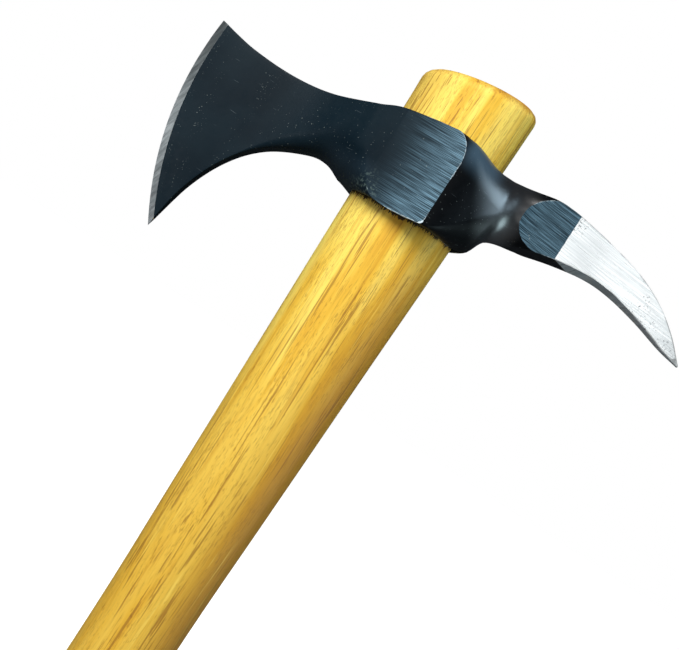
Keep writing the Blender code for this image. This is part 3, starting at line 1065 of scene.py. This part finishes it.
def ground_steel(name):
    """The cutting bevel: bright steel with lines from the stone and a satin face, with painted
    shade that darkens its upper part.
    """
    made, wire, shader, where = new_material(name, Metallic=1.0)
    across_edge = wire.stretched(where, (1, 1, 1), turn=(0, math.radians(70), 0))
    lines = group(
        wire, "brushed_lines", Vector=across_edge, Lines_per_Metre=2400.0, Lines_along_X=160.0
    )
    cloud = wire.noise(where, 90.0, 3)
    colour = wire.mix(wire.ramp(lines["Lines"], 0.35, 0.7), EDGE_DARK, EDGE_BRIGHT)
    height = wire.add("ShaderNodeSeparateXYZ", Vector=where).outputs[2]
    # Painted shade: the bevel darker towards its top.
    shaded_upper = wire.ramp(height, EYE_TOP - 48 * MM, EYE_TOP - 10 * MM, 0.0, 0.9)
    colour = wire.mix(shaded_upper, colour, EDGE_SHADED_HIGH)
    colour = wire.mix(wire.product(cloud, 0.35), colour, EDGE_CLOUDED)
    wire.feed(shader.inputs["Base Color"], colour)
    wire.feed(shader.inputs["Roughness"], wire.ramp(lines["Deep Lines"], 0.3, 0.7, 0.36, 0.5))
    add_relief(wire, shader, lines["Lines"], 0.4, 0.02 * MM)
    return made


def bore_scale(name):
    """Inside the eye: the dull dark scale of the forge, with thin paint that ran in."""
    made, wire, shader, where = new_material(name, Specular_IOR_Level=0.3)
    crust = wire.noise(where, 420.0, 4, 0.65)
    colour = wire.mix(wire.ramp(crust, 0.35, 0.7), SCALE_BLACK, SCALE_BROWN)
    wire.feed(shader.inputs["Base Color"], colour)
    wire.feed(shader.inputs["Roughness"], wire.ramp(crust, 0.3, 0.7, 0.55, 0.8))
    add_relief(wire, shader, crust, 0.6, 0.08 * MM)
    return made


brushed_lines()
dust_and_scratches()
edge_wear()
bare_pick()
head_finishes = [
    head_paint("black_paint_on_forging", False),
    head_paint("black_paint_on_ground_face", True),
    bore_scale("forge_scale"),
    ground_steel("ground_edge_steel"),
]

blade = blade_rings()
eye = eye_rings()
pick = pick_rings()
forging = lofted([*blade, *eye, *pick])
forging.faces.ensure_lookup_table()
for face in forging.faces[: BEVEL_RINGS * len(blade[0])]:
    face.material_index = BEVELLED
forged_unevenness(forging)
axe_head = object_of("forged_axe_head", forging, head_finishes)

WHEEL_RADIUS = 10 * MM  # the wheel's rim leaves this rounding where its cut on the pick ends
WHEEL_LEAVES = 36 * MM

cheek = []
for i in range(41):
    x = blend(-32 * MM, 20 * MM, i / 40)
    cheek.append((x, CHEEK_HALF_WIDTH - CHEEK_SLOPE * (CREASE_X - x)))
pick_side = []
for i in range(61):
    x = blend(27 * MM, 106 * MM, i / 60)
    run_out = max(0, WHEEL_LEAVES - x) ** 2 / (2 * WHEEL_RADIUS)
    pick_side.append((x, eased(PICK_SIDES, x) + run_out))
cutters = [eye_bore("eye_bore", head_finishes)]
for side, label in ((-1, "near"), (1, "far")):
    for ground, profile, low, high in (
        ("cheek", cheek, -45 * MM, 15 * MM),
        ("pick", pick_side, -32 * MM, 12 * MM),
    ):
        block = grinding_block(f"{ground}_{label}", profile, low, high, side, head_finishes)
        cutters.append(block)
cut_by(axe_head, cutters)
note_edges(axe_head.data)


RIM_SECTORS = 96


def share_of_turn(point):
    return (math.atan2(point.y, point.x) + math.pi) / math.tau


def note_rim(haft, head):
    """Stores on the haft how far below the eye's lower rim each point lies, in millimetres."""
    rim = {}
    for face in head.data.polygons:
        if face.material_index != BORED:
            continue
        for index in face.vertices:
            p = head.data.vertices[index].co
            sector = int(share_of_turn(p) * RIM_SECTORS) % RIM_SECTORS
            rim[sector] = min(rim.get(sector, p.z), p.z)
    known = sorted(rim)
    turns = [(sector + 0.5) / RIM_SECTORS for sector in known]
    levels = [rim[sector] for sector in known]
    below = []
    for vertex in haft.data.vertices:
        level = float(np.interp(share_of_turn(vertex.co), turns, levels, period=1))
        below.append((level - vertex.co.z) / MM)
    layer = haft.data.attributes.new("below_rim", "FLOAT", "POINT")
    layer.data.foreach_set("value", np.array(below, np.float32))


note_rim(wooden_haft, axe_head)
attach(axe_head, "head")
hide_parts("axe_head")


# ---------------------------------------------------------------------------------------------
# The studio: a plain pale floor that runs out into a white backdrop, soft lights from above and
# from both sides, two cool ones that shine along the neck, and the camera.
# ---------------------------------------------------------------------------------------------

FLOOR_REACH = 3.0

floor_mesh = bpy.data.meshes.new("studio_floor")
corners = [(x * FLOOR_REACH, y * FLOOR_REACH, 0) for x, y in ((-1, -1), (1, -1), (1, 1), (-1, 1))]
floor_mesh.from_pydata(corners, [], [(0, 1, 2, 3)])
floor = bpy.data.objects.new("studio_floor", floor_mesh)
bpy.context.scene.collection.objects.link(floor)
# The paper looks white, but throws only a little light back up at the tool.
paper, wire, shader, where = new_material("pale_paper", Roughness=0.9, Specular_IOR_Level=0.1)
shade = wire.noise(where, 3.0, 3)
wire.feed(shader.inputs["Base Color"], wire.mix(shade, (0.86, 0.86, 0.86, 1), (0.9, 0.9, 0.9, 1)))
glow = wire.add("ShaderNodeEmission", Color=(1, 1, 1, 1), Strength=0.97)
dim = wire.add("ShaderNodeBsdfDiffuse", Color=(0.22, 0.22, 0.23, 1))
seen = wire.add("ShaderNodeLightPath").outputs["Is Camera Ray"]
both = wire.add("ShaderNodeAddShader")
mixed = wire.add("ShaderNodeMixShader", Fac=seen)
wire.feed(both.inputs[0], shader.outputs[0])
wire.feed(both.inputs[1], glow.outputs[0])
wire.feed(mixed.inputs[1], dim.outputs[0])
wire.feed(mixed.inputs[2], both.outputs[0])
wire.feed(paper.node_tree.nodes["Material Output"].inputs["Surface"], mixed.outputs[0])
floor_mesh.materials.append(paper)

world = bpy.data.worlds.new("studio")
bpy.context.scene.world = world
world.use_nodes = True
wire = Wiring(world.node_tree)
sky = world.node_tree.nodes["Background"]
sky.inputs["Color"].default_value = (0.72, 0.82, 1.0, 1)
sky.inputs["Strength"].default_value = 0.045
backdrop = wire.add("ShaderNodeBackground", Color=(1, 1, 1, 1), Strength=1.0)
seen = wire.add("ShaderNodeLightPath").outputs["Is Camera Ray"]
mixed = wire.add("ShaderNodeMixShader", Fac=seen)
wire.feed(mixed.inputs[1], sky.outputs[0])
wire.feed(mixed.inputs[2], backdrop.outputs[0])
wire.feed(world.node_tree.nodes["World Output"].inputs["Surface"], mixed.outputs[0])


def soft_light(name, place, aim, size, power, colour):
    lamp = bpy.data.lights.new(name, "AREA")
    lamp.shape = "RECTANGLE"
    lamp.size, lamp.size_y = size
    lamp.energy = power
    lamp.color = colour
    made = bpy.data.objects.new(name, lamp)
    made.location = place
    made.rotation_euler = (Vector(aim) - Vector(place)).to_track_quat("-Z", "Y").to_euler()
    bpy.context.scene.collection.objects.link(made)
    return made


NEUTRAL = (1, 1, 1)
middle = (0.0, 0.0, EYE_TOP - 15 * MM)
for name, place, size, power, colour in (
    ("light_key", (-0.25, -0.6, 0.8), (0.5, 0.5), 9.9, (1, 0.99, 0.97)),
    ("light_right", (0.5, -0.86, 0.53), (0.3, 0.5), 1.05, NEUTRAL),
    ("light_left", (-0.66, -0.8, 0.46), (0.2, 0.4), 0.5, (0.8, 0.9, 1)),
    ("light_low_left", (-0.66, -0.93, 0.26), (0.24, 0.24), 1.4, NEUTRAL),
    ("light_neck", (0.84, -0.09, 0.77), (0.22, 0.5), 2.5, (0.62, 0.84, 1)),
    ("light_neck_low", (0.55, -0.03, 0.09), (0.28, 0.3), 1.2, (0.7, 0.94, 1)),
):
    soft_light(name, place, middle, size, power, colour)

# The camera looks square at the plane of the head, with the haft leaning to the right.
LENS = 41.51
CAMERA_PLACE = Vector((1.8 * MM, -258.4 * MM, EYE_TOP - 68.4 * MM))
ROLL = math.radians(33.03)

camera_data = bpy.data.cameras.new("camera")
camera_data.lens = LENS
camera_data.sensor_width = 36
camera_data.clip_start = 0.01
camera = bpy.data.objects.new("camera", camera_data)
bpy.context.scene.collection.objects.link(camera)
right = (math.cos(ROLL), 0, math.sin(ROLL))
up = (-math.sin(ROLL), 0, math.cos(ROLL))
turn = Matrix((right, up, (0, -1, 0))).transposed()
camera.matrix_world = Matrix.Translation(CAMERA_PLACE) @ turn.to_4x4()
bpy.context.scene.camera = camera
bpy.context.scene.view_settings.view_transform = "Standard"
